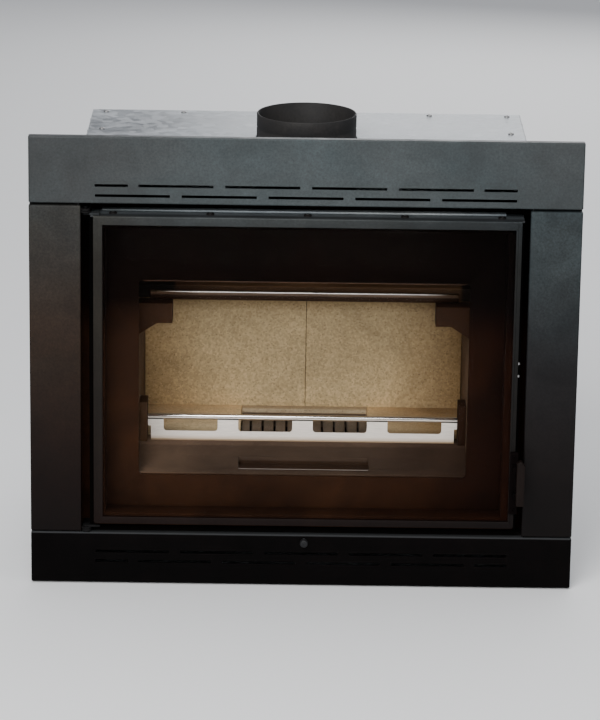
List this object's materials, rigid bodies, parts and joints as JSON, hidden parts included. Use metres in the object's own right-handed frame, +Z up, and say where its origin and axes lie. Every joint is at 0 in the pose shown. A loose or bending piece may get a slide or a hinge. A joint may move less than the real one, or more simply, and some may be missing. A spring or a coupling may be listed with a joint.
{
  "type": "inset wood-burning stove",
  "caption": "Inset wood-burning stove with a slotted steel surround, a glazed side-hung door, a lined firebox with grate and log guard, and a top flue collar.",
  "frame": {"origin": "centre of the bounding box's base, at floor level under the levelling feet", "axes": "+X to the right seen from the front, +Y into the chimney breast (the front faces -Y), +Z up"},
  "size_m": [0.8, 0.468, 0.679],
  "materials": {
    "trim_paint": "satin dark grey stove paint with a slight grain",
    "heat_black": "matt black heat-resistant paint, dulled brown by heat",
    "zinc_sheet": "zinc-coated sheet steel",
    "lining_board": "pressed vermiculite board, coarse and speckled",
    "fire_iron": "bare cast iron, grey-brown from ash",
    "bright_steel": "bare stainless sheet and bar",
    "seal_rope": "braided glass-fibre rope",
    "door_glass": "flat clear ceramic glass"
  },
  "bodies": {
    "insert": {"trim_top": "trim_paint", "trim_left": "trim_paint", "trim_right": "trim_paint", "trim_bottom": "trim_paint", "trim_angle_left": "zinc_sheet", "trim_angle_right": "zinc_sheet", "casing_left": "zinc_sheet", "casing_right": "zinc_sheet", "casing_back": "zinc_sheet", "casing_bottom": "zinc_sheet", "casing_top": "zinc_sheet", "foot_front_left": "zinc_sheet", "foot_front_right": "zinc_sheet", "foot_back_left": "zinc_sheet", "foot_back_right": "zinc_sheet", "mouth_plate": "heat_black", "shelf_lower": "heat_black", "hinge_plate_upper": "heat_black", "hinge_plate_lower": "heat_black", "catch_housing": "zinc_sheet", "catch_roller_upper": "bright_steel", "catch_roller_lower": "bright_steel", "firebox_left": "heat_black", "firebox_right": "heat_black", "firebox_back": "heat_black", "firebox_floor": "heat_black", "firebox_roof": "heat_black", "ash_well": "heat_black", "flue_collar": "heat_black", "side_board_left": "lining_board", "side_board_right": "lining_board", "back_board_left": "lining_board", "back_board_right": "lining_board", "hearth_board_left": "lining_board", "hearth_board_right": "lining_board", "hearth_board_rear": "lining_board", "hearth_front": "fire_iron", "air_lip": "bright_steel", "baffle_bracket_left": "heat_black", "baffle_bracket_right": "heat_black", "guard_keeper_left": "heat_black", "guard_keeper_right": "heat_black", "air_guide": "zinc_sheet"},
    "door": {"door_body": "heat_black", "door_frame": "trim_paint", "door_glass": "door_glass", "door_top_rail": "trim_paint", "rope_seal": "seal_rope", "hinge_lug_upper": "heat_black", "hinge_lug_lower": "heat_black", "catch_tongue": "bright_steel", "handle_bracket": "heat_black", "handle_lever": "trim_paint"},
    "air_slider": {"air_slide": "zinc_sheet", "air_knob": "trim_paint"},
    "grate": {"grate": "fire_iron"},
    "ash_pan": {"ash_pan": "heat_black"},
    "log_guard": {"log_guard": "bright_steel"},
    "baffle": {"baffle_slab": "lining_board", "baffle_rail": "bright_steel"}
  },
  "joints": [
    {"name": "door_hinge", "type": "hinge", "parent": "insert", "child": "door", "pos_m": [-0.318, -0.191, 0.33], "axis": [0, 0, -1], "range_deg": [0, 105]},
    {"name": "air_slide", "type": "slide", "parent": "insert", "child": "air_slider", "axis": [1, 0, 0], "range_m": [-0.04, 0.034]},
    {"name": "grate_lift", "type": "slide", "parent": "insert", "child": "grate", "axis": [0, 0, 1], "range_m": [0, 0.15]},
    {"name": "ash_pan_lift", "type": "slide", "parent": "insert", "child": "ash_pan", "axis": [0, 0, 1], "range_m": [0, 0.12]},
    {"name": "log_guard_lift", "type": "slide", "parent": "insert", "child": "log_guard", "axis": [0, 0, 1], "range_m": [0, 0.12]},
    {"name": "baffle_lift", "type": "slide", "parent": "insert", "child": "baffle", "axis": [0, 0, 1], "range_m": [0, 0.045]}
  ],
  "couplings": [
    {"joint": "ash_pan_lift", "follows": "grate_lift", "ratio": 0.8}
  ]
}
